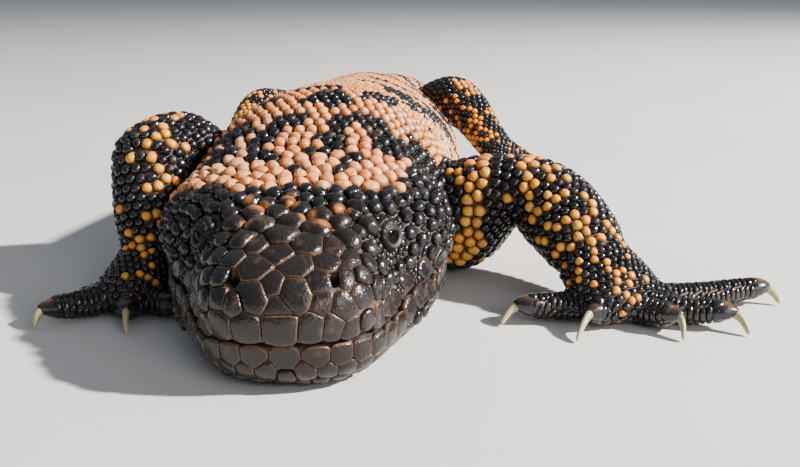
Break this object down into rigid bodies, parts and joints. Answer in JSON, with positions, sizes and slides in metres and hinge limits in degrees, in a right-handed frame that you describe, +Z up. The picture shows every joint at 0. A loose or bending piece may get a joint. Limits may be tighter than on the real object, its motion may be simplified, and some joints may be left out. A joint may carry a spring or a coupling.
{
  "type": "gila monster",
  "caption": "Life-size still model of a stout beaded lizard lying with its head low, bent forelegs splayed at its sides and a short thick tail",
  "frame": {"origin": "On the ground, under the middle of the animal's bounding box", "axes": "+Z up; +Y from the snout towards the tail, so the head faces -Y; +X to the animal's left"},
  "size_m": [0.177, 0.4118, 0.0456],
  "materials": {
    "head": "satin",
    "back": "satin",
    "limb": "satin",
    "eye": "gloss",
    "claw": "gloss"
  },
  "bodies": {
    "root": {"head": "head", "lower_jaw": "head", "neck": "head", "eye_left": "eye", "eye_right": "eye", "trunk_front": "back", "trunk_rear": "back", "tail_base": "back", "tail_middle": "back", "tail_tip": "back", "upper_arm_left": "limb", "forearm_left": "limb", "hand_left": "limb", "hand_left_claw_1": "claw", "hand_left_claw_2": "claw", "hand_left_claw_3": "claw", "hand_left_claw_4": "claw", "hand_left_claw_5": "claw", "upper_arm_right": "limb", "forearm_right": "limb", "hand_right": "limb", "hand_right_claw_1": "claw", "hand_right_claw_2": "claw", "hand_right_claw_3": "claw", "hand_right_claw_4": "claw", "hand_right_claw_5": "claw", "thigh_left": "limb", "shin_left": "limb", "foot_left": "limb", "foot_left_claw_1": "claw", "foot_left_claw_2": "claw", "foot_left_claw_3": "claw", "foot_left_claw_4": "claw", "foot_left_claw_5": "claw", "thigh_right": "limb", "shin_right": "limb", "foot_right": "limb", "foot_right_claw_1": "claw", "foot_right_claw_2": "claw", "foot_right_claw_3": "claw", "foot_right_claw_4": "claw", "foot_right_claw_5": "claw"}
  },
  "joints": []
}
